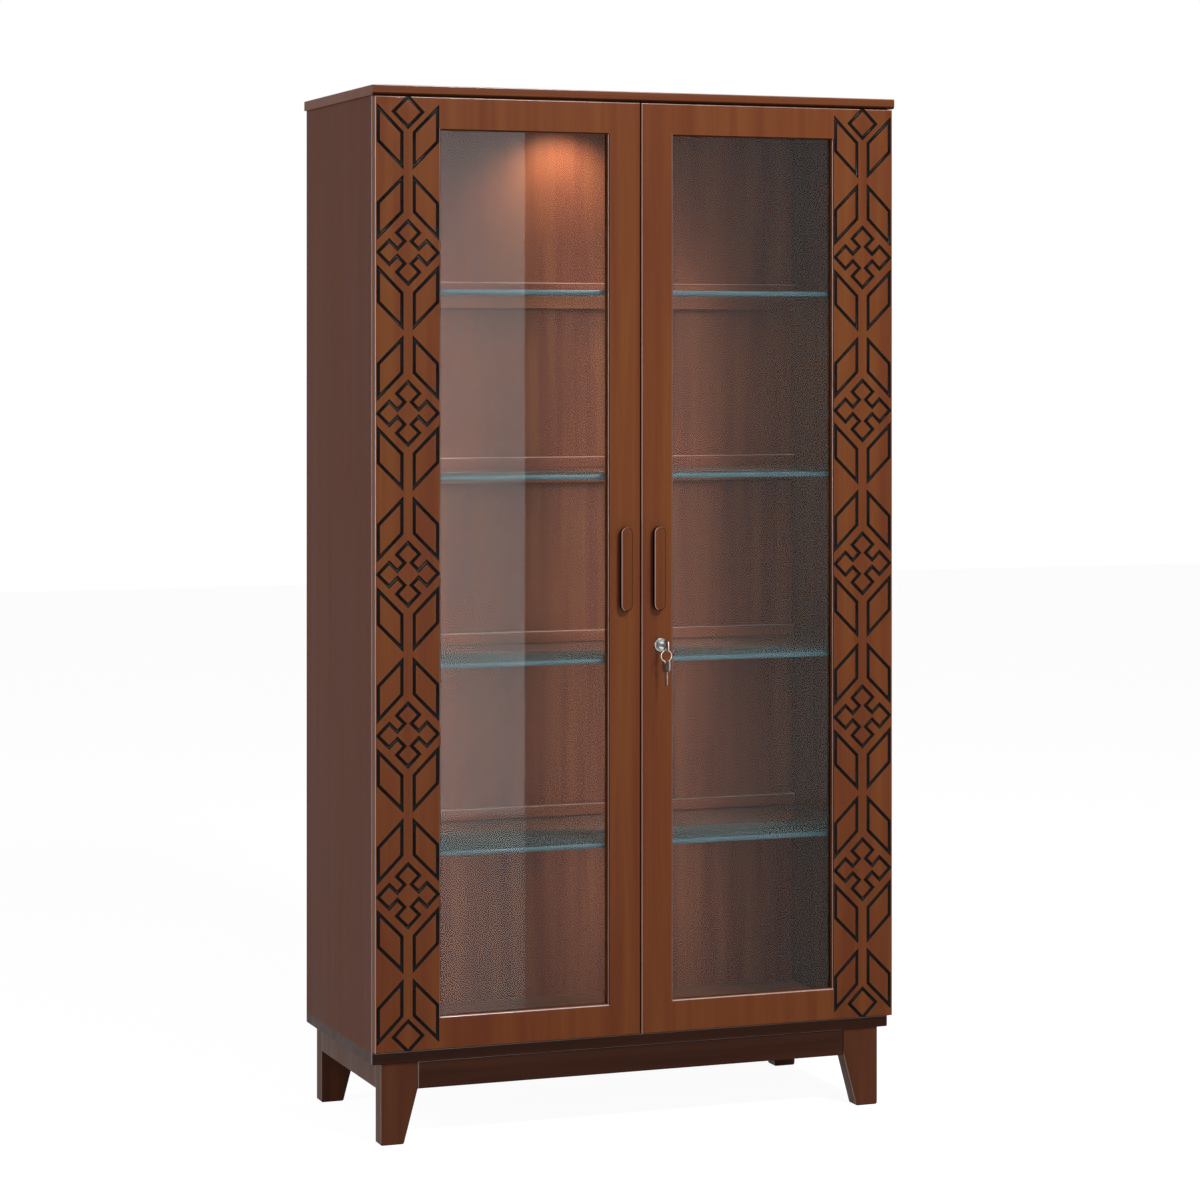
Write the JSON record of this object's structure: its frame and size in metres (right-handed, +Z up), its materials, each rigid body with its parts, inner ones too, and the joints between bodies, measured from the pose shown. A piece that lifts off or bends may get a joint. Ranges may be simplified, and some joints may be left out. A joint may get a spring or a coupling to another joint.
{
  "type": "chinese book cabinet",
  "caption": "Tall glazed book cabinet with hinged doors, carved lattice stiles, glass shelves, a cam lock with keys, and a low base on tapered legs.",
  "frame": {"origin": "on the floor, at the middle of the bounding box in X and Y (the key in the lock is the foremost point)", "axes": "+Z up, -Y towards the viewer of the doors, +X to that viewer's right"},
  "size_m": [1, 0.475, 1.85],
  "materials": {
    "case_wood": "satin lacquer over dark brown stain",
    "leg_wood": "satin lacquer over dark brown stain",
    "door_wood": "satin lacquer over reddish brown stain, carved lines black",
    "door_glass": "clear float glass",
    "shelf_glass": "clear float glass with green edges",
    "handle_wood": "satin lacquer over reddish brown stain",
    "handle_base_wood": "black lacquer",
    "hinge_steel": "nickel plated",
    "support_steel": "nickel plated",
    "lock_metal": "nickel plated",
    "catch_plastic": "moulded",
    "key_metal": "nickel plated",
    "lamp_metal": "satin"
  },
  "bodies": {
    "carcass": {"top_panel": "case_wood", "bottom_panel": "case_wood", "left_side_panel": "case_wood", "right_side_panel": "case_wood", "back_panel": "case_wood", "shelf_rail_1": "case_wood", "shelf_rail_2": "case_wood", "shelf_rail_3": "case_wood", "shelf_rail_4": "case_wood", "glass_shelf_1": "shelf_glass", "glass_shelf_2": "shelf_glass", "glass_shelf_3": "shelf_glass", "glass_shelf_4": "shelf_glass", "shelf_supports": "support_steel", "left_front_leg": "leg_wood", "right_front_leg": "leg_wood", "left_back_leg": "leg_wood", "right_back_leg": "leg_wood", "front_apron": "leg_wood", "back_apron": "leg_wood", "left_apron": "leg_wood", "right_apron": "leg_wood", "corner_blocks": "leg_wood", "left_hinge_arms": "hinge_steel", "right_hinge_arms": "hinge_steel", "ceiling_lamp": "lamp_metal"},
    "left_links": {"left_hinge_links": "hinge_steel"},
    "left_door": {"left_outer_stile": "door_wood", "left_inner_stile": "door_wood", "left_top_rail": "door_wood", "left_bottom_rail": "door_wood", "left_door_glass": "door_glass", "left_glazing_beads": "door_wood", "left_hinge_cups": "hinge_steel", "left_handle": "handle_wood", "left_handle_base": "handle_base_wood", "lock_catch": "catch_plastic"},
    "right_links": {"right_hinge_links": "hinge_steel"},
    "right_door": {"right_outer_stile": "door_wood", "right_inner_stile": "door_wood", "right_top_rail": "door_wood", "right_bottom_rail": "door_wood", "right_door_glass": "door_glass", "right_glazing_beads": "door_wood", "right_hinge_cups": "hinge_steel", "right_handle": "handle_wood", "right_handle_base": "handle_base_wood", "lock_housing": "lock_metal", "lock_nut": "lock_metal"},
    "lock_plug": {"lock_plug": "lock_metal", "lock_cam": "lock_metal", "lock_key": "key_metal"},
    "key_ring": {"key_ring": "key_metal"},
    "spare_key": {"spare_key": "key_metal"}
  },
  "joints": [
    {"name": "left_link_turn", "type": "hinge", "parent": "carcass", "child": "left_links", "pos_m": [-0.4655, -0.1785, 0.9985], "axis": [0, 0, 1], "range_deg": [0, 26.25]},
    {"name": "left_door_swing", "type": "hinge", "parent": "left_links", "child": "left_door", "pos_m": [-0.486, -0.185, 0.9985], "axis": [0, 0, -1], "range_deg": [0, 131.25]},
    {"name": "right_link_turn", "type": "hinge", "parent": "carcass", "child": "right_links", "pos_m": [0.4655, -0.1785, 0.9985], "axis": [0, 0, -1], "range_deg": [0, 26.25]},
    {"name": "right_door_swing", "type": "hinge", "parent": "right_links", "child": "right_door", "pos_m": [0.486, -0.185, 0.9985], "axis": [0, 0, 1], "range_deg": [0, 131.25]},
    {"name": "lock_turn", "type": "hinge", "parent": "right_door", "child": "lock_plug", "pos_m": [0.03725, -0.1975, 0.861], "axis": [0, -1, 0], "range_deg": [0, 90]},
    {"name": "key_ring_swing", "type": "hinge", "parent": "lock_plug", "child": "key_ring", "pos_m": [0.03725, -0.2265, 0.8557], "axis": [1, 0, 0], "range_deg": [-45, 12]},
    {"name": "spare_key_swing", "type": "hinge", "parent": "key_ring", "child": "spare_key", "pos_m": [0.03725, -0.2265, 0.8324], "axis": [0.9511, 0.309, 0], "range_deg": [-30, 12]}
  ],
  "couplings": [
    {"joint": "left_link_turn", "follows": "left_door_swing", "ratio": 0.2},
    {"joint": "right_link_turn", "follows": "right_door_swing", "ratio": 0.2}
  ]
}
